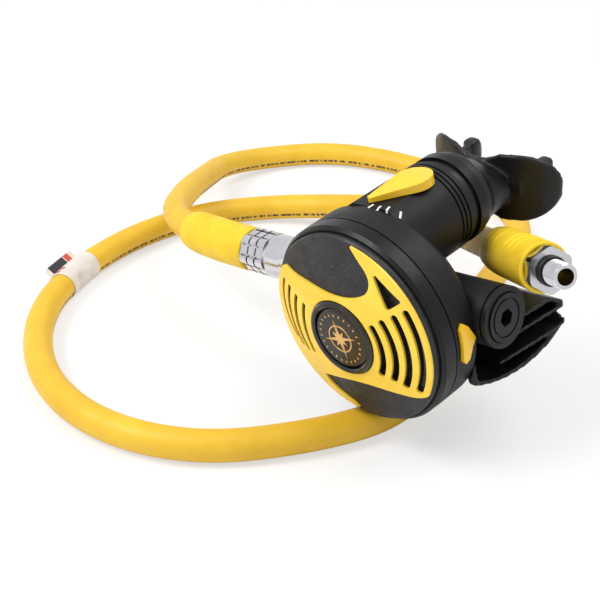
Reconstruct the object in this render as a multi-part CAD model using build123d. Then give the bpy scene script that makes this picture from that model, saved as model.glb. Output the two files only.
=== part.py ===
from build123d import *
import os
from math import atan2, degrees, radians, tan

# Octopus second stage of a scuba regulator on its low pressure hose, in millimetres.
# The second stage is drawn in its own frame: x along the valve barrel towards the side plug,
# y backwards towards the mouthpiece, z up, with its origin at the centre of the case seam.
# STAND then leans it as it rests on its hose, above the origin of the part on the floor.

# ---- driving dimensions ----
wall = 2.2                 # moulded walls of the case
gap = 0.3                  # clear space between seated pieces
running_fit = 0.05         # radial clearance of pieces that turn or slide

seam_height = 54.7         # centre of the case seam above the floor
lean = 9.3                 # the front of the case faces down by this angle
roll = 8.2                 # the plug end of the barrel stands higher by this angle

case_radius = 41.3
case_side = 11.0           # straight side behind the seam
case_depth = 18.0          # seam to the outside of the back wall
back_radius = 34.5         # flat part of the back wall

ring_depth = 7.0           # cover ring, in front of the seam
ring_wall = 1.9
dome_rise = 6.4            # dome of the front cover above its rim
cover_wall = 2.0
grille_thick = 0.9
grille_rim_radius = 38.4

badge_radius = 15.3
button_radius = 12.6

barrel_back = 21.5         # barrel axis behind the seam
housing_radius = 11.7
housing_plug_end = 47.0
housing_inlet_end = -45.0
barrel_radius = 7.9
barrel_bore = 5.5

tube_rise = 25.0           # axis of the mouthpiece tube above the barrel
tube_radius = 18.5
tube_end = 46.0
spigot_radius = 15.2
spigot_length = 11.0

flange_width = 62.0
flange_height = 29.0
flange_front = 70.0
flange_rise = -1.5         # centre of the flange above the axis of the tube
flange_tilt = 6.0          # the rubber sits turned a little on the tube
flange_sweep = 13.0        # how far its wings reach back
lip_thick = 2.2

lever_pivot = (3.0, 30.0)  # venturi lever, seen from above
lever_tip = (-1.5, 14.5)
lever_shaft_radius = 2.4
deck_rise = 41.4           # flat on the tube that carries the lever
lever_deck_end = 40.0
lever_thick = 3.6
lever_tip_drop = 1.6       # the blade thins towards its tip

exhaust_drop = 23.1        # exhaust port below the barrel
exhaust_radius = 9.4
tee_wall = 1.8
tee_top = -9.0
tee_bottom = -32.0
tee_half_width = 45.0
tee_back = 64.0

hose_radius = 6.5
ferrule_length = 17.0
ferrule_wall = 0.9
protector_length = 46.0
protector_radius = 9.7
ferrule_inset = 2.4        # from the face of a protector to the end of the hose
nut_start = -74.3          # face of the swivel nut towards the case
nut_length = 14.2
nut_flats = 17.6
thread_radius = 4.76       # 3/8-24 UNF
thread_length = 10.0
end_hex_flats = 15.9

UP = (Align.CENTER, Align.CENTER, Align.MIN)
STAND = Location((0, 0, seam_height)) * Rot(0, -roll, 0) * Rot(lean, 0, 0)


# ---- helpers ----
def turned(points):
    """A solid turned about the case axis from (radius, y) points."""
    outline = make_face(Polyline(*points, close=True))
    return revolve(outline, Axis.Y)


def barrel_turned(points):
    """A solid turned about the barrel axis from (x, radius) points."""
    outline = make_face(Polyline(*points, close=True))
    return Pos(0, barrel_back, 0) * revolve(outline, Axis.X)


def rod(x0, x1, radius, hole=0.0):
    """A round bar or tube on the barrel axis."""
    bar = barrel_turned([(x0, 0), (x1, 0), (x1, radius), (x0, radius)])
    if hole:
        bar -= barrel_turned([(x0 - 1, 0), (x1 + 1, 0), (x1 + 1, hole), (x0 - 1, hole)])
    return bar


def disc(y0, y1, radius, hole=0.0, at=(0, 0)):
    """A round plate square to the case axis, at (x, z)."""
    plate = turned([(0, y0), (radius, y0), (radius, y1), (0, y1)])
    if hole:
        plate -= turned([(0, y0 - 1), (hole, y0 - 1), (hole, y1 + 1), (0, y1 + 1)])
    return Pos(at[0], 0, at[1]) * plate


def facing(y):
    """The plane square to the case axis at y, with its own x and y along x and z."""
    return Plane(origin=(0, y, 0), x_dir=(1, 0, 0), z_dir=(0, -1, 0))


def through(sketch, y0, y1):
    """A sketch drawn in x and z, carried from y0 to y1."""
    return extrude(facing(y1) * sketch, amount=y1 - y0)


def coil(radius, wire, height, turns):
    """A helical spring standing on z = 0."""
    path = Helix(pitch=height / turns, height=height, radius=radius)
    return sweep(Plane(origin=path @ 0, z_dir=path % 0) * Circle(wire / 2), path=path)


def hexagon(flats):
    return RegularPolygon(radius=flats / 2, side_count=6, major_radius=False)


def o_ring(radius, wire):
    return Torus(radius, wire / 2)


def on_barrel(x):
    """Local z along the barrel, towards the plug."""
    return Location(Plane(origin=(x, barrel_back, 0), x_dir=(0, 1, 0), z_dir=(1, 0, 0)))


# ---- case ----
cavity_radius = case_radius - wall
tube_bore = deck_rise - wall - tube_rise
shelf_y = 2.2

case_outer = turned(
    [(0, gap), (case_radius, gap), (case_radius, case_side), (back_radius, case_depth), (0, case_depth)]
)
housing = rod(housing_inlet_end, housing_plug_end, housing_radius)
housing -= rod(housing_plug_end - 2.6, housing_plug_end - 1.6, housing_radius + 1, housing_radius - 0.7)
tube = disc(case_side, tube_end, tube_radius, at=(0, tube_rise))
tube += disc(tube_end - 1, tube_end + spigot_length, spigot_radius, at=(0, tube_rise))
for groove in (2.0, 4.2, 6.4):
    tube -= disc(tube_end - groove - 0.9, tube_end - groove, tube_radius + 1, tube_radius - 0.8, at=(0, tube_rise))
tube -= Pos(0, (case_side + lever_deck_end) / 2, deck_rise + 5) * Box(60, lever_deck_end - case_side, 10)

shelf_radius = cavity_radius - 2.4
cavity = turned(
    [(0, 0), (cavity_radius, 0), (cavity_radius, shelf_y), (shelf_radius, shelf_y), (shelf_radius, shelf_y + 1.6),
     (cavity_radius, shelf_y + 1.6), (cavity_radius, case_side - 1), (back_radius - 1.5, case_depth - wall),
     (0, case_depth - wall)]
)
exhaust_port = disc(case_depth - wall - 1, case_depth + 1, exhaust_radius, at=(0, -exhaust_drop))
exhaust_port -= disc(case_depth - wall - 2, case_depth + 2, 2.6, at=(0, -exhaust_drop))
for angle in (45, 135):
    exhaust_port -= Pos(0, case_depth, -exhaust_drop) * Rot(0, angle, 0) * Box(3 * exhaust_radius, 12, 1.8)

case_shell = case_outer + housing
case_shell += tube
case_shell -= cavity
case_shell -= rod(housing_inlet_end - 1, housing_plug_end + 1, barrel_radius + gap)
case_shell -= disc(case_side - 2, tube_end + spigot_length + 1, spigot_radius - 2.0, at=(0, tube_rise))
case_shell -= disc(case_side - 2, tube_end - 4, tube_bore, at=(0, tube_rise))
case_shell -= exhaust_port
case_shell -= Pos(lever_pivot[0], lever_pivot[1], tube_rise) * Cylinder(
    lever_shaft_radius + running_fit, 60, align=UP
)

# ---- side lock of the cover ----
leaf = make_face(
    Polyline((2.6, 3.6), (4.4, 5.6), (6.6, 3.4), (9.6, -2.8), (7.6, -5.6), (6.0, -10.4), (4.0, -11.4),
             (2.4, -9.0), close=True)
)
leaf_plane = Plane(origin=(case_radius - 4, 0, 0), x_dir=(0, 1, 0), z_dir=(1, 0, 0))
leaf_bar = extrude(leaf_plane * leaf, amount=12)
lock_travel = 1.0          # how far the leaf can be pressed in
leaf_window = extrude(leaf_plane.offset(-lock_travel - gap) * offset(leaf, gap), amount=14)
lock_band = disc(0.6, case_side - 0.2, case_radius + 1.3, cavity_radius + 0.2)
case_shell -= leaf_window
cover_lock = leaf_bar & lock_band

# ---- cover ring, front cover and grille ----
ring_radius = case_radius
dome_edge = ring_radius - ring_wall - gap
rim_y = -ring_depth - 2.2
cover_ring = turned(
    [(ring_radius - ring_wall, -gap), (ring_radius, -gap), (ring_radius - 0.2, -ring_depth + 1.5),
     (ring_radius - 1.2, -ring_depth), (ring_radius - ring_wall, -ring_depth)]
)


def dome_y(radius):
    """Outer face of the front cover at a radius, a shallow parabola."""
    return rim_y - dome_rise * (1 - (radius / dome_edge) ** 2)


def dome_layer(inner, outer, lift, thick):
    """A shell lying on the dome from one radius to another."""
    steps = 7
    radii = [inner + (outer - inner) * k / steps for k in range(steps + 1)]
    top = [(r, dome_y(r) - lift) for r in radii]
    under = [(r, dome_y(r) - lift + thick) for r in reversed(radii)]
    return turned(top + under)


button_hole = badge_radius + gap
front_cover = dome_layer(button_hole, dome_edge - 0.6, 0, cover_wall)
front_cover += turned(
    [(dome_edge - 2.2, -0.6), (dome_edge, -0.6), (dome_edge, rim_y + 0.8), (dome_edge - 0.7, rim_y),
     (dome_edge - 2.2, rim_y)]
)
spider_y = -5.4
front_cover += disc(spider_y - 1.6, spider_y, button_hole + 2.0, 3.3)
front_cover += disc(dome_y(button_hole) + 0.6, spider_y - 0.8, button_hole + 2.0, button_hole)
for k in range(6):
    front_cover -= Rot(0, 60 * k, 0) * disc(spider_y - 3, spider_y + 1, 2.6, at=(9.5, 0))

grille_outline = make_face(
    [
        Spline((-27.6, 22.6), (-23.0, 21.0), (-15.9, 20.0), (-8.5, 18.8), (0.3, 17.8), (8.5, 18.3), (14.0, 20.2)),
        Spline((14.0, 20.2), (17.0, 23.6), (17.1, 26.9), (15.0, 30.4), (9.0, 37.2),
               tangents=((0.9, 0.45), (-0.65, 0.76))),
        Line((9.0, 37.2), (10.8, 38.8)),
        Spline((10.8, 38.8), (20.0, 35.9), (27.4, 31.0), (34.0, 23.4), (38.8, 14.4), (41.0, 5.0), (40.8, -3.0),
               (38.8, -10.6), (35.4, -16.0)),
        Spline((35.4, -16.0), (33.6, -18.8), (30.0, -20.4), (23.9, -20.4), (16.3, -19.6), (8.9, -19.0),
               (-2.6, -19.8), (-17.8, -22.6)),
        Spline((-17.8, -22.6), (-15.9, -27.0), (-10.8, -30.9), (-5.6, -33.9)),
        Line((-5.6, -33.9), (-4.6, -35.6)),
        Spline((-4.6, -35.6), (-14.0, -33.8), (-22.5, -29.0), (-29.8, -21.8), (-34.6, -13.4), (-37.0, -3.6),
               (-37.0, 6.0), (-34.8, 14.6), (-30.6, 21.4)),
        Line((-30.6, 21.4), (-27.6, 22.6)),
    ]
)


def slot(a, b, bow, width):
    """A curved vent slot between two points, bowed sideways."""
    middle = ((a[0] + b[0]) / 2 + bow, (a[1] + b[1]) / 2)
    return SlotArc(ThreePointArc(a, middle, b), width)


vents = [
    slot((16.8, 8.0), (16.4, -11.4), 2.4, 2.9),
    slot((21.3, 10.8), (21.3, -13.0), 3.1, 2.9),
    slot((26.6, 13.4), (25.8, -15.0), 3.5, 2.9),
    slot((31.4, 15.8), (30.8, -16.4), 3.9, 2.8),
    slot((-18.6, 9.0), (-19.4, -12.0), -2.0, 2.0),
    slot((-23.2, 11.2), (-23.2, -12.6), -2.7, 2.0),
    slot((-27.0, 14.0), (-26.4, -11.4), -3.0, 1.8),
    slot((-30.4, 16.0), (-29.4, -8.6), -3.2, 1.4),
]
triangle = fillet(make_face(Polyline((18.0, 30.6), (30.2, 19.9), (23.9, 15.9), close=True)).vertices(), 0.8)
openings = triangle
for vent in vents:
    openings += vent

grille_layer = dome_layer(badge_radius + gap, grille_rim_radius, grille_thick + 0.1, grille_thick)
cover_grille = grille_layer & through(grille_outline, -30, 0)
cover_grille -= through(openings, -30, 0)
front_cover -= through(openings, -30, rim_y + 3.0)

# ---- purge button ----
badge_front = -17.0
lip_y = badge_front + 2.4
purge_bezel = turned(
    [(button_radius + gap, badge_front + 0.5), (button_radius + 1.0, badge_front),
     (badge_radius - 0.8, badge_front), (badge_radius, badge_front + 0.8), (badge_radius, -10.2),
     (badge_radius - 0.8, -10.2), (badge_radius - 0.8, lip_y), (button_radius + gap, lip_y)]
)
button_back = lip_y + gap + 1.2
stem_end = 1.4
purge_button = turned(
    [(0, badge_front + 0.6), (button_radius - 1.0, badge_front + 0.4), (button_radius, badge_front + 1.2),
     (button_radius, lip_y + gap), (button_radius + 1.4, lip_y + gap), (button_radius + 1.4, button_back),
     (2.8, button_back), (2.8, stem_end), (0, stem_end)]
)
spring_room = (spider_y - 1.6) - button_back - 2 * gap
purge_spring = Location(Plane(origin=(0, button_back + gap + 0.45, 0), x_dir=(1, 0, 0), z_dir=(0, 1, 0))) * coil(
    5.4, 0.8, spring_room - 0.9, 3.5
)

# ---- diaphragm ----
plate_radius = 16.4
diaphragm = turned(
    [(plate_radius + gap, 0.9), (cavity_radius - gap, 0.9), (cavity_radius - gap, shelf_y - 0.05),
     (cavity_radius - 2.6, shelf_y - 0.05), (cavity_radius - 3.2, 1.6), (27.5, 1.6), (26.5, 2.4), (25.0, 2.4),
     (24.0, 1.6), (plate_radius + gap, 1.6)]
)
plate_y = stem_end + gap
diaphragm_plate = disc(plate_y, plate_y + 1.2, plate_radius)
diaphragm_ring = disc(-0.1, 0.8, cavity_radius - gap, cavity_radius - 3.4)

# ---- valve ----
pin_x, pin_y = 9.0, 16.5
inlet_face = housing_inlet_end - gap
valve_barrel = rod(-62, 36, barrel_radius, barrel_bore)
valve_barrel -= Pos(4, barrel_back - barrel_radius, 0) * Box(24, 10, 7.2)
valve_barrel -= Pos(pin_x, pin_y, 0) * Cylinder(1.0, 20)
orifice = rod(-61, -26.4, barrel_bore - running_fit, 2.4)
orifice -= rod(-55, -52.6, barrel_bore + 1, barrel_bore - 1.1)
orifice -= barrel_turned([(-30, 3.0), (-26.3, 3.0), (-26.3, 6), (-30, 6)])
orifice_o_ring = on_barrel(-53.8) * o_ring(barrel_bore - 0.55, 1.0)
poppet = rod(-26.2, -12, barrel_bore - 0.4)
poppet -= barrel_turned([(-27, 0), (-24.6, 0), (-24.6, 3.6), (-27, 3.6)])
poppet += rod(-13, 15, 1.5)
poppet_seat = rod(-26.0, -24.7, 3.4)
poppet_nut = on_barrel(10.8) * extrude(hexagon(6.4), amount=2.4) - rod(10, 15, 1.5 + running_fit)
poppet_spring = on_barrel(-11.4) * coil(3.4, 0.7, 12.0, 6)
spring_stop = rod(1.2, 3.0, barrel_bore - running_fit, 1.8)
arm = make_face(
    Polyline((8.0, 17.8), (8.0, 12.0), (-3.4, 5.6), (-3.6, 4.2), (-2.4, 3.6), (10.0, 10.6), (10.4, 18.0),
             (10.3, 19.4), (8.7, 19.4), close=True)
)
demand_lever = Pos(0, 0, -2.8) * extrude(arm, amount=5.6)
demand_lever -= Pos(pin_x, pin_y, 0) * Cylinder(0.9 + running_fit, 20)
lever_pin = Pos(pin_x, pin_y, 0) * Cylinder(0.9, 11.4)

# ---- side plug ----
plug_head_start = housing_plug_end - 3.0
case_shell -= rod(plug_head_start, housing_plug_end + 1, 9.6)
side_plug = rod(plug_head_start + gap, housing_plug_end + 0.6, 9.2)
side_plug += rod(36.4, plug_head_start + 1, barrel_radius)
side_plug -= rod(35, 41, barrel_bore)
side_plug -= rod(housing_plug_end + 0.1, housing_plug_end + 1, 7.6, 6.8)
side_plug -= on_barrel(housing_plug_end - 4) * extrude(hexagon(6.0), amount=6)
side_plug -= rod(41.6, 43.4, barrel_radius + 1, barrel_radius - 1.2)
plug_o_ring = on_barrel(42.5) * o_ring(barrel_radius - 0.45, 1.4)

# ---- inlet ----
adapter_base = 12.4
inlet_adapter = barrel_turned(
    [(inlet_face, 0), (inlet_face, adapter_base), (inlet_face - 4, adapter_base), (inlet_face - 18, 9.6),
     (nut_start + 2, 9.6), (nut_start + gap, 9.0), (nut_start + gap, 0)]
)
inlet_adapter &= on_barrel(nut_start) * extrude(hexagon(20.6), amount=-nut_start + inlet_face)
inlet_adapter -= rod(-63, inlet_face + 1, barrel_radius + running_fit)
inlet_adapter -= rod(nut_start - 1, -62.5, 5.2)
stem_head = nut_start + 12
hose_stem = rod(nut_start - 16.6, stem_head, 5.0, 2.2)
hose_stem -= rod(stem_head - 4.4, stem_head - 2.4, 6, 3.6)
stem_o_ring = on_barrel(stem_head - 3.4) * o_ring(4.35, 1.4)
nut_end = nut_start - nut_length
swivel_nut = Rot(0, 0, 0) * (on_barrel(nut_end) * extrude(hexagon(nut_flats), amount=nut_length))
swivel_nut &= rod(nut_end, nut_start, nut_flats / 2 + 0.9)
ring_pitch = nut_length / 3
for k in (1, 2):
    x = nut_end + ring_pitch * k
    swivel_nut -= rod(x - 0.45, x + 0.45, nut_flats, nut_flats / 2 - 1.3)
for k in range(12):
    swivel_nut -= Pos(0, barrel_back, 0) * Rot(30 * k + 15, 0, 0) * Pos(
        (nut_start + nut_end) / 2, 0, nut_flats / 2 + 0.5
    ) * Box(nut_length - 1.4, 0.9, 2.4)
swivel_nut -= rod(nut_end - 1, nut_start + 1, 5.0 + running_fit)


# ---- mouthpiece ----
collar_start = tube_end + gap
collar_end = tube_end + spigot_length + 2
mouth_rise = tube_rise + flange_rise
flange_curve = (flange_width ** 2 / 4 + flange_sweep ** 2) / (2 * flange_sweep)
lip_centre = flange_front + flange_curve
flange_turn = Pos(0, 0, mouth_rise) * Rot(0, flange_tilt, 0)
oval = Pos(0, mouth_rise) * Rot(0, 0, -flange_tilt)
mouthpiece = disc(collar_start, collar_end, spigot_radius + 2.2, at=(0, tube_rise))
mouthpiece += loft([
    facing(collar_end - 1) * Pos(0, tube_rise) * Circle(spigot_radius + 1.2),
    facing(flange_front + 1.2) * oval * Ellipse(17.0, 9.8),
])
flange = Pos(0, lip_centre, 0) * (Cylinder(flange_curve, 120) - Cylinder(flange_curve - lip_thick, 121))
flange &= through(RectangleRounded(flange_width, flange_height, 13.5), flange_front - 5, lip_centre)
notch_radius = 20.0        # shallow notches at the middle of the flange's upper and lower edges
for side in (-1, 1):
    notch_at = (0, side * (flange_height / 2 + notch_radius - 3))
    flange -= disc(flange_front - 6, lip_centre + 1, notch_radius, at=notch_at)
    bar = Pos(side * 17.5, flange_front + 14.5, 0) * Box(3.0, 22, 10)
    pad = Pos(side * 18.0, flange_front + 21, 0) * Box(6.0, 6, 12)
    flange += fillet(bar.edges().filter_by(Axis.X), 3)
    flange += fillet(pad.edges(), 1.4)
mouthpiece += flange_turn * flange
mouthpiece -= disc(collar_start - 1, tube_end + spigot_length + gap, spigot_radius + gap, at=(0, tube_rise))
mouthpiece -= loft([
    facing(tube_end + spigot_length) * Pos(0, tube_rise) * Circle(spigot_radius - 1.6),
    facing(flange_front + 9) * oval * Ellipse(13.6, 7.0),
])

clamp_y = tube_end + 4.0
clamp_inner = spigot_radius + 2.2 + 0.1
mouthpiece_clamp = disc(clamp_y, clamp_y + 4.4, clamp_inner + 1.0, clamp_inner, at=(0, tube_rise))
mouthpiece_clamp += Pos(0, clamp_y + 2.2, tube_rise - clamp_inner - 1.6) * Box(6.5, 6, 3.2)

# ---- venturi lever ----
blade_low = deck_rise + gap
blade_centre = (5.0, 31.0)
blade_round = 7.6
tip_round = 1.4
blade = make_hull(
    (Pos(*blade_centre) * Circle(blade_round)).edges() + (Pos(*lever_tip) * Circle(tip_round)).edges()
)
venturi_lever = Pos(0, 0, blade_low) * extrude(blade, amount=lever_thick)
blade_slope = degrees(atan2(lever_tip_drop, blade_centre[1] - lever_tip[1]))
venturi_lever -= Pos(0, blade_centre[1], blade_low + lever_thick) * Rot(blade_slope, 0, 0) * Pos(0, -15, 5) * Box(
    60, 30, 10
)
shaft_low = tube_rise + 9
venturi_lever += Pos(lever_pivot[0], lever_pivot[1], shaft_low) * Cylinder(
    lever_shaft_radius, blade_low + 1 - shaft_low, align=UP
)
groove_rise = deck_rise - wall / 2
venturi_lever -= Pos(lever_pivot[0], lever_pivot[1], groove_rise) * (
    Cylinder(lever_shaft_radius + 1, 0.9) - Cylinder(lever_shaft_radius - 0.75, 0.9)
)
venturi_o_ring = Pos(lever_pivot[0], lever_pivot[1], groove_rise) * o_ring(lever_shaft_radius - 0.35, 0.7)
vane_height = 4.0
venturi_vane = Pos(lever_pivot[0], lever_pivot[1], shaft_low - gap - vane_height / 2) * Box(13, 1.4, vane_height)

# ---- exhaust ----
exhaust_valve = disc(case_depth + 0.2, case_depth + 1.2, exhaust_radius + 1.3, at=(0, -exhaust_drop))
exhaust_valve += disc(case_depth - 3.6, case_depth + 0.4, 0.9, at=(0, -exhaust_drop))
case_shell -= disc(case_depth - 5, case_depth + 1, 1.0 + running_fit, at=(0, -exhaust_drop))


def tee_block(inset):
    """The tee's body: its side profile carried across, cut to its outline from above."""
    low, high = tee_bottom + inset, tee_top - inset
    side = make_face(
        [
            Line((6 + inset, high), (tee_back - 12, high)),
            Line((tee_back - 12, high), (tee_back - inset, high - 8)),
            Spline((tee_back - inset, high - 8), (50, low + 5.0), (36, low + 1.0), (20, low + 2.0), (6 + inset, low + 8)),
            Line((6 + inset, low + 8), (6 + inset, high)),
        ]
    )
    reach = tee_half_width if inset == 0 else tee_half_width + 3
    across = extrude(Plane.YZ * side, amount=reach, both=True)
    front = case_depth + gap + inset
    plan = make_face(
        Polyline(
            (-26, front), (26, front), (34, case_side + inset), (37 if inset == 0 else 60, case_side + inset),
            (tee_half_width if inset == 0 else 60, tee_back - 6), (30, tee_back - inset),
            (-30, tee_back - inset), (-tee_half_width if inset == 0 else -60, tee_back - 6),
            (-37 if inset == 0 else -60, case_side + inset), (-34, case_side + inset), close=True
        )
    )
    return across & extrude(Pos(0, 0, tee_bottom - 5) * plan, amount=60)


exhaust_tee = tee_block(0) - tee_block(tee_wall)
vane_zone = tee_block(0) - Pos(0, 40, 0) * Box(52, 120, 120) - Box(120, 48, 120)
for level in (-15.6, -23.8):
    exhaust_tee += vane_zone & Pos(0, 40, level) * Box(120, 120, 1.3)
exhaust_tee -= disc(case_depth - 1, case_depth + 6, exhaust_radius + 2.4, at=(0, -exhaust_drop))
exhaust_tee -= rod(-60, 60, housing_radius + gap)
exhaust_tee -= Pos(0, case_side - 3, tee_top + 3) * Box(120, 24, 13)
exhaust_tee -= turned(
    [(0, -5), (case_radius + gap, -5), (case_radius + gap, case_side + 0.15), (back_radius + gap, case_depth + gap),
     (0, case_depth + gap)]
)

# ---- hose ----
protector_start = nut_end - gap
hose_start = protector_start - ferrule_inset
start = (STAND * Pos(hose_start, barrel_back, 0)).position
leave = (STAND * Pos(hose_start - 1, barrel_back, 0)).position - start
end_face = Vector(49.3, 38.0, 80.0)
arrive = Vector(0.819, -0.504, 0.276).normalized()
end = end_face - arrive * ferrule_inset
rest = hose_radius         # height of the hose's centre where it lies on the floor
ROUTE = [
    start, start + leave * 38,
    (-165, 35, 34), (-192, 66, 28.5), (-216, 98, 20), (-239, 130, 12), (-240, 168, rest), (-219, 201, rest),
    (-181, 218, rest), (-135, 221, rest), (-92, 213, rest), (-62, 184, rest), (-48, 143, rest), (-30, 98, rest),
    (-9, 54, rest), (3, 14, rest), (-10, -24, rest), (-34, -60, rest), (-74, -78, rest), (-120, -73, rest),
    (-164, -46, rest), (-191, -8, rest), (-205, 38, rest), (-203, 82, rest), (-184, 118, rest), (-148, 138, 12),
    (-103, 135, 26), (-54, 104, 44), end - arrive * 60, end,
]


def corner_radii(points):
    """Each arc as large as its two runs allow."""
    radii = []
    for a, b, c in zip(points, points[1:], points[2:]):
        before, after = Vector(b) - Vector(a), Vector(c) - Vector(b)
        turn = radians(before.get_angle(after))
        radii.append(0.45 * min(before.length, after.length) / tan(turn / 2))
    return radii


def tube_along(path, radius):
    return sweep(Plane(origin=path @ 0, z_dir=path % 0) * Circle(radius), path=path)


ARCS = corner_radii(ROUTE)
route = FilletPolyline(*ROUTE, radius=ARCS)
hose = tube_along(route, hose_radius)
section = 3.14159265 * hose_radius ** 2
print("hose length %.1f, volume over section times length %.4f" % (route.length, hose.volume / section / route.length))
print("arc radii", [round(r) for r in ARCS])


def make_protector(face, corner, beyond, arc):
    """A rubber sleeve over the ferrule that bends with the hose, with two groups of ring grooves."""
    path = FilletPolyline(face, corner, beyond, radius=arc)
    path = path.trim(0, protector_length / path.length)
    shape = tube_along(path, protector_radius)
    for group in (0.38, 0.78):
        for k in range(3):
            share = group + 3.4 * k / protector_length
            shape -= Location(Plane(origin=path @ share, z_dir=path % share)) * Torus(protector_radius + 0.45, 1.1)
    mouth = Plane(origin=face, z_dir=path % 0)
    socket = Cylinder(hose_radius + ferrule_wall + 0.4, 2 * (ferrule_inset + ferrule_length + gap))
    shape -= Location(mouth) * socket
    return shape - tube_along(path, hose_radius + gap)


def make_ferrule():
    """A crimped sleeve over the end of the hose, which ends at its origin."""
    shape = Cylinder(hose_radius + 0.1 + ferrule_wall, ferrule_length, align=(Align.CENTER, Align.CENTER, Align.MIN))
    shape -= Cylinder(hose_radius + 0.1, 3 * ferrule_length)
    return shape


hose_protector_a = make_protector(start - leave * ferrule_inset, ROUTE[1], ROUTE[2], ARCS[0])
ferrule_a = Location(Plane(origin=start, z_dir=leave)) * make_ferrule()
hose_protector_b = make_protector(end_face, ROUTE[-2], ROUTE[-3], ARCS[-1])
ferrule_b = Location(Plane(origin=end, z_dir=arrive * -1)) * make_ferrule()

# ---- fitting on the far end of the hose ----
far_out = Location(Plane(origin=end, x_dir=(0, 0, 1), z_dir=arrive))
hex_start = ferrule_inset + gap
hex_length = 5.5
thread_start = hex_start + hex_length
relief_length = 2.4
fitting = Pos(0, 0, gap) * Cylinder(5.2, hex_start + 1, align=UP)
fitting += Pos(0, 0, hex_start) * (
    extrude(hexagon(end_hex_flats), amount=hex_length) & Cylinder(end_hex_flats / 2 + 0.8, 3 * hex_length)
)
fitting += Pos(0, 0, thread_start - 1) * Cylinder(thread_radius - 0.9, relief_length + 2, align=UP)
fitting += Pos(0, 0, thread_start + relief_length) * Cylinder(thread_radius, thread_length, align=UP)
fitting -= Cylinder(3.1, 120)
hose_end_fitting = far_out * fitting
hose_end_o_ring = far_out * Pos(0, 0, thread_start + relief_length / 2) * o_ring(thread_radius + 0.05, 1.7)

tag_share = 0.688          # place of the tag along the hose
tag_length = 26.0
tag_wall = 0.4
flag_width = 6.0
tag_lean = 55.0            # the flag leans outwards by this angle


def hose_stretch(length):
    """The piece of the route of that length with the tag's place in its middle."""
    half = length / route.length / 2
    return route.trim(tag_share - half, tag_share + half)


hose_tag = tube_along(hose_stretch(tag_length), hose_radius + 0.1 + tag_wall)
hose_tag -= tube_along(hose_stretch(tag_length + 2), hose_radius + 0.1)
tag_at = Location(Plane(origin=route @ tag_share, x_dir=(0, 0, 1), z_dir=route % tag_share))
flag_reach = hose_radius + 0.2 + flag_width / 2
hose_tag += tag_at * Rot(0, 0, -tag_lean) * Pos(flag_reach, 0, 0) * Box(flag_width, 0.6, tag_length - 2)

# ---- write the nodes ----
leaned = {
    "case_shell": case_shell,
    "cover_ring": cover_ring,
    "front_cover": front_cover,
    "cover_grille": cover_grille,
    "cover_lock": cover_lock,
    "purge_bezel": purge_bezel,
    "purge_button": purge_button,
    "purge_spring": purge_spring,
    "diaphragm": diaphragm,
    "diaphragm_plate": diaphragm_plate,
    "diaphragm_ring": diaphragm_ring,
    "demand_lever": demand_lever,
    "lever_pin": lever_pin,
    "valve_barrel": valve_barrel,
    "orifice": orifice,
    "orifice_o_ring": orifice_o_ring,
    "poppet": poppet,
    "poppet_seat": poppet_seat,
    "poppet_nut": poppet_nut,
    "poppet_spring": poppet_spring,
    "spring_stop": spring_stop,
    "side_plug": side_plug,
    "plug_o_ring": plug_o_ring,
    "inlet_adapter": inlet_adapter,
    "hose_stem": hose_stem,
    "stem_o_ring": stem_o_ring,
    "swivel_nut": swivel_nut,
    "mouthpiece": mouthpiece,
    "mouthpiece_clamp": mouthpiece_clamp,
    "venturi_lever": venturi_lever,
    "venturi_vane": venturi_vane,
    "venturi_o_ring": venturi_o_ring,
    "exhaust_valve": exhaust_valve,
    "exhaust_tee": exhaust_tee,
}
placed = {
    "hose_protector_a": hose_protector_a,
    "ferrule_a": ferrule_a,
    "hose": hose,
    "hose_tag": hose_tag,
    "hose_protector_b": hose_protector_b,
    "ferrule_b": ferrule_b,
    "hose_end_fitting": hose_end_fitting,
    "hose_end_o_ring": hose_end_o_ring,
}
os.makedirs("parts", exist_ok=True)
for name, shape in leaned.items():
    export_step(STAND * shape, f"parts/{name}.step")
for name, shape in placed.items():
    export_step(shape, f"parts/{name}.step")
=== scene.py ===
import math

import bmesh
import bpy
from mathutils import Matrix, Vector
from mathutils.bvhtree import BVHTree


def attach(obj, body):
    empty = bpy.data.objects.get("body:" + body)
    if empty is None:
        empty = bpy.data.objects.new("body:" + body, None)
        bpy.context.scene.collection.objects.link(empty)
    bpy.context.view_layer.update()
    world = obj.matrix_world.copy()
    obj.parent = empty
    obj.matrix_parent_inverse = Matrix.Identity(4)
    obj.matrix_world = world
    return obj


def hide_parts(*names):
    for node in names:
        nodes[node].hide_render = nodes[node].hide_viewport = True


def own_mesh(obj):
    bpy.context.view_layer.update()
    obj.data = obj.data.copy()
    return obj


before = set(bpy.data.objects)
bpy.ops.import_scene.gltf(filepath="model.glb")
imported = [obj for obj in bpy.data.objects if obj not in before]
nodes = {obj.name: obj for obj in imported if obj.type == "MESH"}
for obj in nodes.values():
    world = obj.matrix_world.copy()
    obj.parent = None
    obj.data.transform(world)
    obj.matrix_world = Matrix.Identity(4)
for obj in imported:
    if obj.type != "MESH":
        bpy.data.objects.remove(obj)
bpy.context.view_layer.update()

MM = 0.001

# ---------------------------------------------------------------- shared sizes, as in the part

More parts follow.
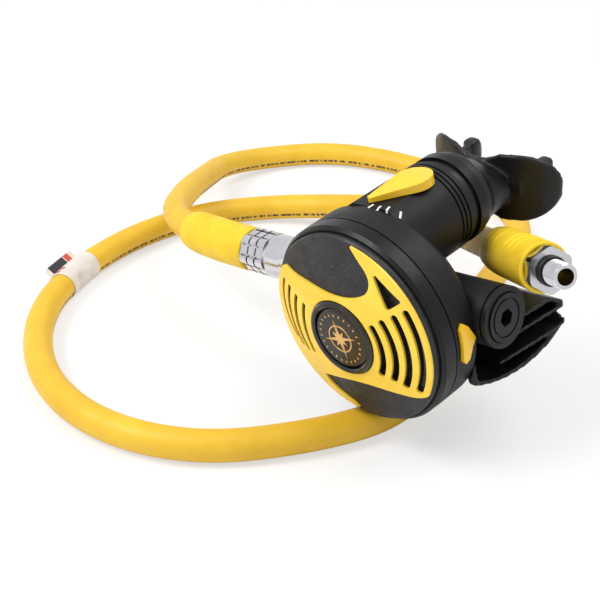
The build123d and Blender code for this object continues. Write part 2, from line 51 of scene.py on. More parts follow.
LEAN = math.radians(9.3)
ROLL = math.radians(-8.2)
SEAM_HEIGHT = 54.7 * MM
STAND = Matrix.Translation((0, 0, SEAM_HEIGHT)) @ Matrix.Rotation(ROLL, 4, "Y") @ Matrix.Rotation(LEAN, 4, "X")
HOSE_RADIUS = 6.5 * MM
PROTECTOR_LENGTH = 46.0 * MM
LAY_SIDE = 0.55
FERRULE_INSET = 2.4 * MM
hose_start = STAND @ Vector((-91.2 * MM, 21.5 * MM, 0))
leave = STAND.to_3x3() @ Vector((-1, 0, 0))
end_face = Vector((49.3, 38.0, 80.0)) * MM
arrive = Vector((0.819, -0.504, 0.276)).normalized()
hose_end = end_face - arrive * FERRULE_INSET


def local(x, y, z):
    """A place given along the barrel, back and up, in millimetres, put where the case stands."""
    return STAND @ Vector((x * MM, y * MM, z * MM))


# ---------------------------------------------------------------- camera

camera_data = bpy.data.cameras.new("studio_camera")
camera_data.lens = 72.42
camera_data.sensor_width = 36.0
camera = bpy.data.objects.new("studio_camera", camera_data)
bpy.context.scene.collection.objects.link(camera)
camera.location = (0.2681, -0.2945, 0.2734)
camera.rotation_euler = Vector((-0.6363, 0.6122, -0.4695)).to_track_quat("-Z", "Y").to_euler()
bpy.context.scene.camera = camera

# ---------------------------------------------------------------- the hose's line

HOSE_ROUTE = [Vector(p) * MM for p in (
    (-165, 35, 34), (-192, 66, 28.5), (-216, 98, 20), (-239, 130, 12), (-240, 168, 6.5),
    (-219, 201, 6.5), (-181, 218, 6.5), (-135, 221, 6.5), (-92, 213, 6.5), (-62, 184, 6.5),
    (-48, 143, 6.5), (-30, 98, 6.5), (-9, 54, 6.5), (3, 14, 6.5), (-10, -24, 6.5),
    (-34, -60, 6.5), (-74, -78, 6.5), (-120, -73, 6.5), (-164, -46, 6.5), (-191, -8, 6.5),
    (-205, 38, 6.5), (-203, 82, 6.5), (-184, 118, 6.5), (-148, 138, 12), (-103, 135, 26),
    (-54, 104, 44),
)]
HOSE_ROUTE = [hose_start, hose_start + leave * 38 * MM] + HOSE_ROUTE + [hose_end - arrive * 60 * MM, hose_end]


def hose_line(name, bevel):
    curve = bpy.data.curves.new(name, "CURVE")
    curve.dimensions = "3D"
    curve.resolution_u = 14
    spline = curve.splines.new("NURBS")
    spline.points.add(len(HOSE_ROUTE) - 1)
    for point, place in zip(spline.points, HOSE_ROUTE):
        point.co = (*place, 1)
    spline.order_u = 3
    spline.use_endpoint_u = True
    curve.bevel_depth = bevel
    curve.bevel_resolution = 8 if bevel else 0
    curve.use_fill_caps = bool(bevel)
    return curve


def line_points():
    """Points along the middle of the hose, with their distance from its first end."""
    probe = bpy.data.objects.new("hose_probe", hose_line("hose_probe", 0))
    bpy.context.scene.collection.objects.link(probe)
    bpy.context.view_layer.update()
    mesh = bpy.data.meshes.new_from_object(probe)
    points = [v.co.copy() for v in mesh.vertices]
    bpy.data.objects.remove(probe)
    bpy.data.meshes.remove(mesh)
    reach = [0.0]
    for a, b in zip(points, points[1:]):
        reach.append(reach[-1] + (b - a).length)
    return points, reach


path_points, path_reach = line_points()
HOSE_LENGTH = path_reach[-1]


def on_line(distance):
    """The hose's middle and its direction at a distance from its first end. Beyond an end the line runs straight on."""
    if distance <= 0:
        return path_points[0] + leave * distance, leave.copy()
    if distance >= HOSE_LENGTH:
        return path_points[-1] + arrive * (distance - HOSE_LENGTH), arrive.copy()
    for i in range(1, len(path_reach)):
        if path_reach[i] >= distance:
            share = (distance - path_reach[i - 1]) / (path_reach[i] - path_reach[i - 1])
            before = (path_points[i] - path_points[i - 1]).normalized()
            after = (path_points[min(i + 1, len(path_points) - 1)] - path_points[i]).normalized()
            if i == len(path_points) - 1:
                after = before
            return path_points[i - 1].lerp(path_points[i], share), before.lerp(after, share).normalized()
    return path_points[-1], arrive.copy()


# ---------------------------------------------------------------- materials


class Finish:
    """A material built up from its shader, with the object's own coordinates for its patterns."""

    def __init__(self, name, colour, roughness, metallic=0.0, specular=0.5, coat=0.0):
        self.material = bpy.data.materials.new(name)
        self.material.use_nodes = True
        self.tree = self.material.node_tree
        self.shader = self.tree.nodes["Principled BSDF"]
        self.shader.inputs["Base Color"].default_value = (*colour, 1)
        self.shader.inputs["Roughness"].default_value = roughness
        self.shader.inputs["Metallic"].default_value = metallic
        self.shader.inputs["Specular IOR Level"].default_value = specular
        self.shader.inputs["Coat Weight"].default_value = coat
        self.shader.inputs["Coat Roughness"].default_value = 0.12
        self.place = self.add("ShaderNodeTexCoord").outputs["Object"]
        self.normal = None

    def add(self, kind, **values):
        node = self.tree.nodes.new(kind)
        for key, value in values.items():
            setattr(node, key, value)
        return node

    def link(self, source, target):
        self.tree.links.new(source, target)
        return self

    def noise(self, scale, detail=3.0, rough=0.55, place=None):
        node = self.add("ShaderNodeTexNoise")
        node.inputs["Scale"].default_value = scale
        node.inputs["Detail"].default_value = detail
        node.inputs["Roughness"].default_value = rough
        self.link(place or self.place, node.inputs["Vector"])
        return node.outputs["Fac"]

    def ramp(self, source, stops):
        node = self.add("ShaderNodeValToRGB")
        elements = node.color_ramp.elements
        while len(elements) < len(stops):
            elements.new(0.5)
        for element, (at, colour) in zip(elements, stops):
            element.position = at
            element.color = (*colour, 1)
        self.link(source, node.inputs["Fac"])
        return node.outputs["Color"]

    def spread(self, source, low, high, from_low=0.0, from_high=1.0):
        node = self.add("ShaderNodeMapRange")
        for key, value in (("From Min", from_low), ("From Max", from_high), ("To Min", low), ("To Max", high)):
            node.inputs[key].default_value = value
        self.link(source, node.inputs["Value"])
        return node.outputs["Result"]

    def mixed(self, factor, first, second):
        node = self.add("ShaderNodeMix", data_type="RGBA")
        self.link(factor, node.inputs["Factor"])
        for value, socket in ((first, node.inputs["A"]), (second, node.inputs["B"])):
            if isinstance(value, tuple):
                socket.default_value = (*value, 1)
            else:
                self.link(value, socket)
        return node.outputs["Result"]

    def colour(self, source):
        return self.link(source, self.shader.inputs["Base Color"])

    def rough(self, source):
        return self.link(source, self.shader.inputs["Roughness"])

    def relief(self, source, depth, strength=1.0):
        """Bumps that deep, in metres, on top of those that the finish has."""
        node = self.add("ShaderNodeBump")
        node.inputs["Strength"].default_value = strength
        node.inputs["Distance"].default_value = depth
        self.link(source, node.inputs["Height"])
        if self.normal is not None:
            self.link(self.normal, node.inputs["Normal"])
        self.normal = node.outputs["Normal"]
        return self.link(self.normal, self.shader.inputs["Normal"])


def moulded_black(name, shade, roughness, grain=2600.0, depth=0.00006):
    """Black glass-filled nylon, with the even fine grain of a spark-eroded mould and faint flow marks."""
    finish = Finish(name, (shade, shade, shade * 1.12), roughness, specular=0.2)
    flow = finish.noise(45.0, 4.0)
    finish.colour(finish.ramp(flow, [
        (0.3, (shade * 0.75, shade * 0.75, shade * 0.85)),
        (0.75, (shade * 1.35, shade * 1.33, shade * 1.5)),
    ]))
    finish.rough(finish.spread(finish.noise(160.0, 5.0), roughness - 0.07, roughness + 0.1, 0.3, 0.7))
    finish.relief(finish.noise(grain, 2.0), depth, 0.5)
    return finish.material


def soft_touch():
    """The cover's black lacquer, with fine pale flecks and some rubbed places scattered over it at random."""
    finish = Finish("soft_touch_black", (0.012, 0.012, 0.013), 0.5, specular=0.35)
    flecks = finish.add("ShaderNodeTexVoronoi")
    flecks.inputs["Scale"].default_value = 1500.0
    finish.link(finish.place, flecks.inputs["Vector"])
    near = finish.spread(flecks.outputs["Distance"], 1.0, 0.0, 0.1, 0.26)
    few = finish.spread(finish.noise(900.0, 2.0), 0.0, 1.0, 0.42, 0.62)
    both = finish.add("ShaderNodeMath", operation="MULTIPLY")
    finish.link(near, both.inputs[0]).link(few, both.inputs[1])
    base = finish.ramp(finish.noise(60.0, 5.0), [
        (0.32, (0.009, 0.009, 0.0105)), (0.7, (0.021, 0.02, 0.022))])
    finish.colour(finish.mixed(both.outputs[0], base, (0.16, 0.155, 0.16)))
    finish.rough(finish.spread(finish.noise(220.0, 4.0), 0.36, 0.55, 0.35, 0.65))
    finish.relief(finish.noise(1800.0, 2.0), 0.00008, 0.6)
    return finish.material


def satin_yellow(name, colour, roughness=0.38):
    """Yellow polycarbonate: satin, with a slight deeper cast to its colour in random patches."""
    finish = Finish(name, colour, roughness)
    deeper = tuple(c * k for c, k in zip(colour, (0.93, 0.86, 0.6)))
    finish.colour(finish.ramp(finish.noise(70.0, 3.0), [(0.3, deeper), (0.6, colour)]))
    finish.rough(finish.spread(finish.noise(260.0, 4.0), roughness - 0.08, roughness + 0.1, 0.3, 0.7))
    finish.relief(finish.noise(1500.0, 2.0), 0.00004, 0.4)
    return finish.material


def bright_metal(name, colour, roughness, turning=0.0):
    """Chrome or nickel plate, with the faint rings that turning leaves under it."""
    finish = Finish(name, colour, roughness, metallic=1.0)
    finish.rough(finish.spread(finish.noise(300.0, 4.0), roughness * 0.6, roughness * 1.6, 0.3, 0.7))
    finish.colour(finish.ramp(finish.noise(90.0, 4.0), [
        (0.3, tuple(c * 0.86 for c in colour)), (0.7, colour)]))
    if turning:
        finish.relief(finish.noise(turning, 2.0), 0.00002, 0.35)
    return finish.material


def soft_rubber(name, colour, roughness, dusty=0.0, depth=0.00008):
    """Moulded rubber: matt, a little uneven, with pale dust in places."""
    finish = Finish(name, colour, roughness, specular=0.3)
    pale = tuple(min(1.0, c * 1.25 + dusty) for c in colour)
    dark = tuple(c * 0.82 for c in colour)
    finish.colour(finish.ramp(finish.noise(55.0, 6.0, 0.6), [(0.28, dark), (0.55, colour), (0.8, pale)]))
    finish.rough(finish.spread(finish.noise(180.0, 5.0), roughness - 0.1, roughness + 0.12, 0.3, 0.7))
    finish.relief(finish.noise(900.0, 3.0), depth, 0.5)
    return finish.material


def milky(name, colour, roughness, through=0.0):
    finish = Finish(name, colour, roughness)
    finish.shader.inputs["Subsurface Weight"].default_value = through
    finish.shader.inputs["Subsurface Radius"].default_value = (0.002, 0.002, 0.002)
    finish.colour(finish.ramp(finish.noise(80.0, 3.0), [(0.3, tuple(c * 0.9 for c in colour)), (0.7, colour)]))
    finish.relief(finish.noise(700.0, 2.0), 0.00003, 0.3)
    return finish.material


case_black = moulded_black("case_nylon", 0.0065, 0.44)
ring_black = moulded_black("ring_nylon", 0.005, 0.33, 1900.0)
plug_black = moulded_black("plug_nylon", 0.006, 0.4)
clamp_black = moulded_black("clamp_nylon", 0.0045, 0.32)
cover_black = soft_touch()
grille_yellow = satin_yellow("grille_yellow", (0.93, 0.63, 0.05))
lever_yellow = satin_yellow("lever_yellow", (0.92, 0.57, 0.015), 0.33)
badge_black = Finish("badge_gloss", (0.007, 0.007, 0.008), 0.2, specular=0.35, coat=0.3)
badge_black.rough(badge_black.spread(badge_black.noise(240.0, 4.0), 0.1, 0.26, 0.3, 0.7))
badge_black.colour(badge_black.ramp(badge_black.noise(50.0, 3.0), [
    (0.3, (0.005, 0.005, 0.006)), (0.7, (0.01, 0.0095, 0.011))]))
badge_black = badge_black.material
gold = bright_metal("badge_gold", (0.82, 0.55, 0.25), 0.32, 1500.0)
spring_wire = bright_metal("spring_wire", (0.62, 0.62, 0.64), 0.22)
stainless = bright_metal("stainless", (0.6, 0.6, 0.62), 0.28, 1200.0)
chrome = bright_metal("chrome_plate", (0.62, 0.62, 0.65), 0.15, 900.0)
ferrule_steel = bright_metal("ferrule_steel", (0.55, 0.56, 0.58), 0.3, 900.0)
clear_silicone = milky("clear_silicone", (0.75, 0.74, 0.7), 0.4, 0.4)
white_plastic = milky("white_acetal", (0.78, 0.78, 0.76), 0.35, 0.2)
seal_black = soft_rubber("seal_rubber", (0.006, 0.006, 0.0065), 0.35)
tee_black = soft_rubber("tee_rubber", (0.005, 0.0048, 0.005), 0.4, 0.003)
mouth_black = soft_rubber("mouthpiece_silicone", (0.0048, 0.0045, 0.005), 0.38, 0.006)
protector_yellow = soft_rubber("protector_rubber", (0.84, 0.56, 0.024), 0.5, 0.0, 0.00012)
print_white = Finish("printed_white", (0.85, 0.85, 0.85), 0.5)
print_white.colour(print_white.ramp(print_white.noise(900.0, 3.0), [
    (0.3, (0.7, 0.7, 0.7)), (0.6, (0.9, 0.9, 0.9))]))
print_white = print_white.material


def hose_rubber():
    """Orange-yellow hose cover, with the row of short dark dashes that marks how it lies."""
    finish = Finish("hose_cover", (0.88, 0.56, 0.04), 0.5, specular=0.4)
    uv = finish.add("ShaderNodeTexCoord").outputs["UV"]
    parts = finish.add("ShaderNodeSeparateXYZ")
    finish.link(uv, parts.inputs[0])
    return finish, parts


hose_finish, hose_uv = hose_rubber()
hose_base = hose_finish.ramp(hose_finish.noise(40.0, 6.0, 0.6), [
    (0.28, (0.68, 0.405, 0.02)), (0.55, (0.76, 0.47, 0.026)), (0.8, (0.8, 0.51, 0.035))])


def lay_marks(finish, parts, base, side, width, repeats):
    """Short dark dashes of uneven length in one line along the hose."""
    along = finish.add("ShaderNodeMath", operation="MULTIPLY")
    along.inputs[1].default_value = repeats
    finish.link(parts.outputs["X"], along.inputs[0])
    line = finish.add("ShaderNodeCombineXYZ")
    finish.link(along.outputs[0], line.inputs["X"])
    broken = finish.spread(finish.noise(1.0, 3.0, 0.7, line.outputs[0]), 0.0, 1.0, 0.47, 0.5)
    off = finish.add("ShaderNodeMath", operation="SUBTRACT")
    off.inputs[1].default_value = side
    finish.link(parts.outputs["Y"], off.inputs[0])
    away = finish.add("ShaderNodeMath", operation="ABSOLUTE")
    finish.link(off.outputs[0], away.inputs[0])
    near = finish.spread(away.outputs[0], 1.0, 0.0, width * 0.8, width)
    both = finish.add("ShaderNodeMath", operation="MULTIPLY")
    finish.link(near, both.inputs[0]).link(broken, both.inputs[1])
    return finish.mixed(both.outputs[0], base, (0.05, 0.035, 0.02))


hose_finish.colour(lay_marks(hose_finish, hose_uv, hose_base, LAY_SIDE, 0.022, 420.0))
hose_finish.rough(hose_finish.spread(hose_finish.noise(200.0, 4.0), 0.42, 0.6, 0.3, 0.7))
hose_finish.relief(hose_finish.noise(700.0, 3.0), 0.0001, 0.5)
hose_yellow = hose_finish.material

tag_paper = milky("tag_film", (0.74, 0.68, 0.63), 0.42, 0.1)
tag_red = milky("tag_red", (0.58, 0.07, 0.03), 0.42)
tag_ink = milky("tag_ink", (0.012, 0.012, 0.014), 0.38)


def dress(node, material):
    for place in nodes[node].material_slots:
        place.material = material


for material, names in (
    (case_black, ("case_shell",)),
    (ring_black, ("cover_ring",)),
    (cover_black, ("front_cover",)),
    (grille_yellow, ("cover_grille",)),
    (lever_yellow, ("cover_lock", "venturi_lever")),
    (badge_black, ("purge_bezel", "purge_button")),
    (spring_wire, ("purge_spring", "poppet_spring")),
    (clear_silicone, ("diaphragm", "exhaust_valve")),
    (white_plastic, ("diaphragm_plate", "diaphragm_ring", "poppet", "spring_stop", "venturi_vane")),
    (stainless, ("demand_lever", "lever_pin")),
    (chrome, ("inlet_adapter", "swivel_nut", "hose_stem", "hose_end_fitting", "valve_barrel", "orifice",
              "poppet_nut")),
    (ferrule_steel, ("ferrule_a", "ferrule_b")),
    (seal_black, ("orifice_o_ring", "poppet_seat", "plug_o_ring", "stem_o_ring", "venturi_o_ring",
                  "hose_end_o_ring")),
    (plug_black, ("side_plug",)),
    (clamp_black, ("mouthpiece_clamp",)),
    (mouth_black, ("mouthpiece",)),
    (tee_black, ("exhaust_tee",)),
    (protector_yellow, ("hose_protector_a", "hose_protector_b")),
    (hose_yellow, ("hose",)),
    (tag_paper, ("hose_tag",)),
):
    for node_name in names:
        dress(node_name, material)

# ---------------------------------------------------------------- making pieces


def piece(name, mesh, material, body="root", stands_for=()):
    """A finished mesh as a piece of the object: it rides on a body and may stand for CAD nodes."""
    made = bpy.data.objects.new(name, mesh)
    bpy.context.scene.collection.objects.link(made)
    if not mesh.materials:
        mesh.materials.append(material)
    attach(made, body)
    if stands_for:
        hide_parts(*stands_for)
    return made


def mesh_of(shape, name, smooth=True):
    mesh = bpy.data.meshes.new(name)
    shape.to_mesh(mesh)
    shape.free()
    for face in mesh.polygons:
        face.use_smooth = smooth
    return mesh


def frame_along(direction, upward=Vector((0, 0, 1))):
    side = upward.cross(direction).normalized()
    up = direction.cross(side).normalized()
    return Matrix((side, up, direction)).transposed().to_4x4()


def sleeve(stations, around=56):
    """A closed tube wall along the hose. Each station is its distance along it, its radius and how deep its grooves are
    above and below; the list goes out along the outer face and back along the bore."""
    shape = bmesh.new()
    ring = bmesh.ops.create_circle(shape, segments=around, radius=1.0)["verts"]
    edges = list(shape.edges)
    placed = Matrix.Identity(4)
    grooves = []
    for index, (distance, radius, depth) in enumerate(stations):
        place, direction = on_line(distance)
        if index:
            grown = bmesh.ops.extrude_edge_only(shape, edges=edges)["geom"]
            edges = [g for g in grown if isinstance(g, bmesh.types.BMEdge)]
            ring = [g for g in grown if isinstance(g, bmesh.types.BMVert)]
        station = Matrix.Translation(place) @ frame_along(direction) @ Matrix.Diagonal((radius, radius, 1, 1))
        bmesh.ops.transform(shape, matrix=station @ placed.inverted(), verts=ring)
        placed = station
        if depth:
            grooves.append((ring, place, depth))
    for ring, place, depth in grooves:
        for vert in ring:
            out = (vert.co - place).normalized()
            share = min(1.0, max(0.0, abs(out.z) - 0.5) * 3.5)
            vert.co -= out * depth * share
    loose = [e for e in shape.edges if len(e.link_faces) == 1]
    bmesh.ops.bridge_loops(shape, edges=loose)
    bmesh.ops.recalc_face_normals(shape, faces=shape.faces)
    return shape


def rubbered(node, name, voxel, rounds, material, body="root"):
    """A CAD node's shape with the soft rounded edges of moulded rubber."""
    shape = bmesh.new()
    shape.from_mesh(nodes[node].data)
    bmesh.ops.remove_doubles(shape, verts=shape.verts, dist=0.00001)
    rough = bpy.data.objects.new(name + "_rough", mesh_of(shape, name + "_rough"))
    bpy.context.scene.collection.objects.link(rough)
    remesh = rough.modifiers.new("even", "REMESH")
    remesh.mode = "VOXEL"
    remesh.voxel_size = voxel
    even = rough.modifiers.new("round", "SMOOTH")
    even.factor = 0.5
    even.iterations = rounds
    bpy.context.view_layer.update()
    mesh = bpy.data.meshes.new_from_object(rough.evaluated_get(bpy.context.evaluated_depsgraph_get()))
    bpy.data.objects.remove(rough)
    mesh.materials.clear()
    for face in mesh.polygons:
        face.use_smooth = True
    return piece(name, mesh, material, body, (node,))


# ---------------------------------------------------------------- hose, protectors, tag

hose = bpy.data.objects.new("hose_run", hose_line("hose_run", HOSE_RADIUS))
bpy.context.scene.collection.objects.link(hose)
hose.data.materials.append(hose_yellow)
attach(hose, "root")
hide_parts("hose")


def protector_stations(place_at):
    """The outer face from the mouth to the thin end with two groups of three grooves, then back through the bore."""
    stations = []
    steps = 104
    for k in range(steps + 1):
        along = PROTECTOR_LENGTH * k / steps
        radius = 9.7 * MM
        radius -= 0.5 * MM * max(0.0, 1 - along / (0.8 * MM)) ** 2
        radius -= 1.1 * MM * max(0.0, (along - 34 * MM) / (12 * MM)) ** 2
        radius -= 1.3 * MM * max(0.0, (along - 44.6 * MM) / (1.4 * MM)) ** 2
        depth = 0.0
        for groove in (10.5, 15.0, 19.5, 30.0, 34.2, 38.4):
            near = 1 - abs(along - groove * MM) / (1.1 * MM)
            depth = max(depth, 0.75 * MM * max(0.0, near))
        stations.append((place_at(along), radius, depth))
    for along, radius in ((46.0, 6.75), (23.0, 6.75), (22.0, 7.85), (0.0, 7.85)):
        stations.append((place_at(along * MM), radius * MM, 0.0))
    return stations


def from_inlet(along):
    return along - FERRULE_INSET


def from_far_end(along):
    return HOSE_LENGTH + FERRULE_INSET - along


protector_a = piece(
    "inlet_protector", mesh_of(sleeve(protector_stations(from_inlet)), "inlet_protector"), protector_yellow,
    stands_for=("hose_protector_a",))
protector_b = piece(
    "far_protector", mesh_of(sleeve(protector_stations(from_far_end)), "far_protector"), protector_yellow,
    stands_for=("hose_protector_b",))

TAG_MIDDLE = 0.688 * HOSE_LENGTH
TAG_LENGTH = 26.0 * MM


def tag_wrap():
    """The tag's film once round the hose, with two short red marks near its front end."""
    outer = [(TAG_MIDDLE + TAG_LENGTH * (k / 52 - 0.5), 6.95 * MM, 0.0) for k in range(53)]
    inner = [(TAG_MIDDLE + TAG_LENGTH * side, 6.6 * MM, 0.0) for side in (0.5, -0.5)]
    mesh = mesh_of(sleeve(outer + inner, 72), "tag_wrap")
    mesh.materials.append(tag_paper)
    mesh.materials.append(tag_red)
    middle, direction = on_line(TAG_MIDDLE)
    side = Vector((0, 0, 1)).cross(direction).normalized()
    for face in mesh.polygons:
        away = face.center - middle
        along = away.dot(direction) / MM
        around = math.degrees(math.atan2(away.z, away.dot(-side)))
        in_mark = -11.5 < along < -8.6 or -7.8 < along < -4.9
        if in_mark and 100 < around % 360 < 260 and face.normal.dot(direction) < 0.3:
            face.material_index = 1
    return mesh


tag = piece("tag_wrap", tag_wrap(), tag_paper, stands_for=("hose_tag",))


def tag_flag():
    """The tag's two ends stuck together: a stiff little flag with a dark block and a red block on it."""
    shape = bmesh.new()
    bmesh.ops.create_cube(shape, size=1.0)
    bmesh.ops.scale(shape, vec=(4.6 * MM, 0.5 * MM, 24.0 * MM), verts=shape.verts)
    corners = [e for e in shape.edges if abs(e.verts[0].co.y - e.verts[1].co.y) > 0.1 * MM and e.verts[0].co.x > 0]
    bmesh.ops.bevel(shape, geom=corners, offset=1.6 * MM, segments=5, affect="EDGES", profile=0.5, material=-1)
    for height in (-9.4, 4.0, 4.6, 8.6):
        bmesh.ops.bisect_plane(shape, geom=shape.verts[:] + shape.edges[:] + shape.faces[:],
                               plane_co=(0, 0, height * MM), plane_no=(0, 0, 1))
    middle, direction = on_line(TAG_MIDDLE)
    lean = Matrix.Rotation(math.radians(-55.0), 4, "Z")
    upright = frame_along(direction)
    upright = upright @ Matrix.Rotation(math.radians(90.0), 4, "Z")
    matrix = Matrix.Translation(middle) @ upright @ lean @ Matrix.Translation((8.9 * MM, 0, 0))
    for face in shape.faces:
        height = face.calc_center_median().z / MM
        face.material_index = 1 if -9.4 < height < 4.0 else 2 if 4.6 < height < 8.6 else 0
    bmesh.ops.transform(shape, matrix=matrix, verts=shape.verts)
    mesh = mesh_of(shape, "tag_flag", False)
    for material in (tag_paper, tag_ink, tag_red):
        mesh.materials.append(material)
    return mesh


flag = piece("tag_flag", tag_flag(), tag_paper)

# ---------------------------------------------------------------- fitting on the far end

FAR_OUT = Matrix.Translation(hose_end) @ frame_along(arrive)
THREAD_START = 10.6 * MM
THREAD_LENGTH = 10.0 * MM
THREAD_RADIUS = 4.76 * MM
THREAD_ROOT = 4.2 * MM
THREAD_PITCH = 1.058 * MM


def fitting_core():
    """The hex fitting with its outside turned down to the root of the thread."""
    shape = bmesh.new()
    shape.from_mesh(nodes["hose_end_fitting"].data)
    bmesh.ops.remove_doubles(shape, verts=shape.verts, dist=0.00001)
    home = FAR_OUT.inverted()
    for vert in shape.verts:
        at = home @ vert.co
        out = math.hypot(at.x, at.y)
        if at.z > THREAD_START - 0.1 * MM and out > 4.4 * MM:
            at.x *= THREAD_ROOT / out
            at.y *= THREAD_ROOT / out
            vert.co = FAR_OUT @ at
    mesh = mesh_of(shape, "far_fitting", False)
    return mesh


def thread_ridge():
    """One continuous ridge wound round the fitting."""
    shape = bmesh.new()
    turns, steps_a_turn = 8.6, 36
    low, top = THREAD_ROOT - 0.1 * MM, THREAD_RADIUS
    profile = [(low, -0.48), (top, -0.08), (top, 0.08), (low, 0.48)]
    verts = [shape.verts.new((r, 0, THREAD_START + (z + 0.6) * MM)) for r, z in profile]
    start_face = shape.faces.new(verts)
    steps = int(turns * steps_a_turn)
    bmesh.ops.spin(shape, geom=[start_face, *start_face.verts, *start_face.edges], cent=(0, 0, 0), axis=(0, 0, 1),
                   dvec=(0, 0, THREAD_PITCH / steps_a_turn), angle=math.tau * turns, steps=steps, use_duplicate=False)
    bmesh.ops.recalc_face_normals(shape, faces=shape.faces)
    bmesh.ops.transform(shape, matrix=FAR_OUT, verts=shape.verts)
    return mesh_of(shape, "thread_ridge", False)


fitting = piece("far_fitting", fitting_core(), chrome, stands_for=("hose_end_fitting",))
thread = piece("thread_ridge", thread_ridge(), chrome)

# ---------------------------------------------------------------- rubber pieces

mouth = rubbered("mouthpiece", "mouthpiece_rubber", 0.0006, 14, mouth_black)
tee = rubbered("exhaust_tee", "exhaust_rubber", 0.0007, 3, tee_black)


def coiled(node, name):
    """A spring of the part, as a piece with its own copy of the node's mesh."""
    made = piece(name, nodes[node].data.copy(), spring_wire, stands_for=(node,))
    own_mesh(made)
    return made


purge_coil = coiled("purge_spring", "purge_return_coil")
poppet_coil = coiled("poppet_spring", "poppet_coil")

# ---------------------------------------------------------------- badge and marks


def badge_star():
    """A gold compass star with a ring round it and small marks, inlaid in the button's face."""
    shape = bmesh.new()

    def plate(verts, low, high):
        face = shape.faces.new(verts)
        grown = bmesh.ops.extrude_face_region(shape, geom=[face])["geom"]
        lifted = [g for g in grown if isinstance(g, bmesh.types.BMVert)]
        bmesh.ops.translate(shape, vec=(0, 0, (high - low) * MM), verts=lifted)

    low, high = 16.3, 16.78
    points = []
    for k in range(16):
        radius = (8.4, 1.9, 3.9, 1.9)[k % 4]
        angle = math.tau * k / 16 + math.tau / 4
        points.append(shape.verts.new((radius * MM * math.cos(angle), radius * MM * math.sin(angle), low * MM)))
    plate(points, low, high)
    for k in range(24):
        angle = math.tau * (k + 0.5) / 24
        bar = []
        for radius, swing in ((9.4, -0.025), (10.3, -0.025), (10.3, 0.025), (9.4, 0.025)):
            bar.append(shape.verts.new((radius * MM * math.cos(angle + swing), radius * MM * math.sin(angle + swing),
                                        low * MM)))
        plate(bar, low, high - 0.05)
    ring = bmesh.ops.create_circle(shape, segments=72, radius=5.2 * MM, matrix=Matrix.Translation((0, 0, low * MM)))
    wall = bmesh.ops.extrude_edge_only(shape, edges=list({e for v in ring["verts"] for e in v.link_edges}))["geom"]
    outer = [g for g in wall if isinstance(g, bmesh.types.BMVert)]
    bmesh.ops.scale(shape, vec=(5.7 / 5.2, 5.7 / 5.2, 1), verts=outer)
    band = [g for g in wall if isinstance(g, bmesh.types.BMFace)]
    raised = bmesh.ops.extrude_face_region(shape, geom=band)["geom"]
    bmesh.ops.translate(shape, vec=(0, 0, (high - low - 0.1) * MM),
                        verts=[g for g in raised if isinstance(g, bmesh.types.BMVert)])
    bmesh.ops.recalc_face_normals(shape, faces=shape.faces)
    facing = Matrix.Rotation(math.radians(90), 4, "X")
    bmesh.ops.transform(shape, matrix=STAND @ facing @ Matrix.Rotation(math.radians(12), 4, "Z"), verts=shape.verts)
    return mesh_of(shape, "badge_star", False)


star = piece("badge_star", badge_star(), gold, body="purge")

case_tree = BVHTree.FromPolygons(
    [v.co for v in nodes["case_shell"].data.vertices], [f.vertices for f in nodes["case_shell"].data.polygons])


def scale_ticks():
    """Four short white marks printed round the tip of the venturi lever."""
    shape = bmesh.new()
    down = STAND.to_3x3() @ Vector((0, 0, -1))
    for degrees in (-97, -85, -73, -60):
        angle = math.radians(degrees)
        hits = []
        for step in range(7):
            reach = 17.4 + 2.8 * step / 6
            above = local(3.0 + reach * math.cos(angle), 30.0 + reach * math.sin(angle), 60)
            hit = case_tree.ray_cast(above, down)
            hits.append((hit[0], hit[1]))
        along = (hits[-1][0] - hits[0][0]).normalized()
        rails = []
        for place, normal in hits:
            width = normal.cross(along).normalized() * 0.38 * MM
            low = place - normal * 0.1 * MM
            rails.append((shape.verts.new(low - width), shape.verts.new(low + width)))
        faces = [shape.faces.new((m[0], m[1], n[1], n[0])) for m, n in zip(rails, rails[1:])]
        grown = bmesh.ops.extrude_face_region(shape, geom=faces)["geom"]
        lift = sum((normal for _, normal in hits), Vector()).normalized() * 0.3 * MM
        bmesh.ops.translate(shape, vec=lift, verts=[g for g in grown if isinstance(g, bmesh.types.BMVert)])
    bmesh.ops.recalc_face_normals(shape, faces=shape.faces)
    return mesh_of(shape, "scale_ticks", False)


ticks = piece("scale_ticks", scale_ticks(), print_white)

# ---------------------------------------------------------------- studio


def card(name, size, place, towards, material):
    shape = bmesh.new()
    bmesh.ops.create_grid(shape, x_segments=1, y_segments=1, size=size)
    turn = (Vector(towards) - Vector(place)).to_track_quat("Z", "Y").to_matrix().to_4x4()
    bmesh.ops.transform(shape, matrix=Matrix.Translation(place) @ turn, verts=shape.verts)
    made = bpy.data.objects.new(name, mesh_of(shape, name, False))
    bpy.context.scene.collection.objects.link(made)
    made.data.materials.append(material)
    return made


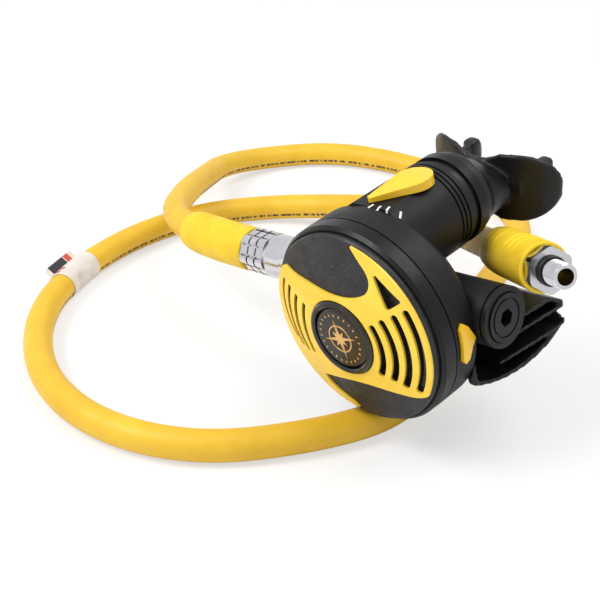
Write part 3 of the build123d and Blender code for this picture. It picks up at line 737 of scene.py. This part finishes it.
def floor_paper():
    material = bpy.data.materials.new("floor_paper")
    material.use_nodes = True
    tree = material.node_tree
    shader = tree.nodes["Principled BSDF"]
    shader.inputs["Base Color"].default_value = (0.9, 0.9, 0.9, 1)
    shader.inputs["Roughness"].default_value = 0.9
    shader.inputs["Specular IOR Level"].default_value = 0.1
    glow = tree.nodes.new("ShaderNodeEmission")
    glow.inputs["Strength"].default_value = 1.0
    light = tree.nodes.new("ShaderNodeLightPath")
    share = tree.nodes.new("ShaderNodeMath")
    share.operation = "MULTIPLY"
    share.inputs[1].default_value = 0.6
    mix = tree.nodes.new("ShaderNodeMixShader")
    tree.links.new(light.outputs["Is Camera Ray"], share.inputs[0])
    tree.links.new(share.outputs[0], mix.inputs[0])
    tree.links.new(shader.outputs[0], mix.inputs[1])
    tree.links.new(glow.outputs[0], mix.inputs[2])
    tree.links.new(mix.outputs[0], tree.nodes["Material Output"].inputs["Surface"])
    return material


FLOOR_HEIGHT = -0.0004
card("studio_floor", 4.0, (0, 0, FLOOR_HEIGHT), (0, 0, 1), floor_paper())

world = bpy.data.worlds.new("studio_sky")
bpy.context.scene.world = world
world.use_nodes = True
sky_tree = world.node_tree
soft = sky_tree.nodes["Background"]
soft.inputs["Color"].default_value = (1, 1, 1, 1)
soft.inputs["Strength"].default_value = 0.5
plain = sky_tree.nodes.new("ShaderNodeBackground")
plain.inputs["Color"].default_value = (1, 1, 1, 1)
plain.inputs["Strength"].default_value = 1.0
seen = sky_tree.nodes.new("ShaderNodeLightPath")
either = sky_tree.nodes.new("ShaderNodeMath")
either.operation = "ADD"
either.use_clamp = True
glassy = sky_tree.nodes.new("ShaderNodeMath")
glassy.operation = "ADD"
sky_mix = sky_tree.nodes.new("ShaderNodeMixShader")
sky_tree.links.new(seen.outputs["Is Glossy Ray"], glassy.inputs[0])
sky_tree.links.new(seen.outputs["Is Transmission Ray"], glassy.inputs[1])
sky_tree.links.new(seen.outputs["Is Camera Ray"], either.inputs[0])
sky_tree.links.new(glassy.outputs[0], either.inputs[1])
sky_tree.links.new(either.outputs[0], sky_mix.inputs[0])
sky_tree.links.new(soft.outputs[0], sky_mix.inputs[1])
sky_tree.links.new(plain.outputs[0], sky_mix.inputs[2])
sky_tree.links.new(sky_mix.outputs[0], sky_tree.nodes["World Output"].inputs["Surface"])


def lamp(name, place, size, power):
    data = bpy.data.lights.new(name, "AREA")
    data.shape = "DISK"
    data.size = size
    data.energy = power
    made = bpy.data.objects.new(name, data)
    made.location = place
    made.rotation_euler = (Vector((-0.05, 0.04, 0.03)) - Vector(place)).to_track_quat("-Z", "Y").to_euler()
    bpy.context.scene.collection.objects.link(made)


lamp("key_softbox", (-0.5, -0.9, 1.3), 0.9, 19.0)
lamp("top_softbox", (0.5, 0.5, 1.6), 1.1, 14.0)

bpy.context.scene.view_settings.view_transform = "Standard"
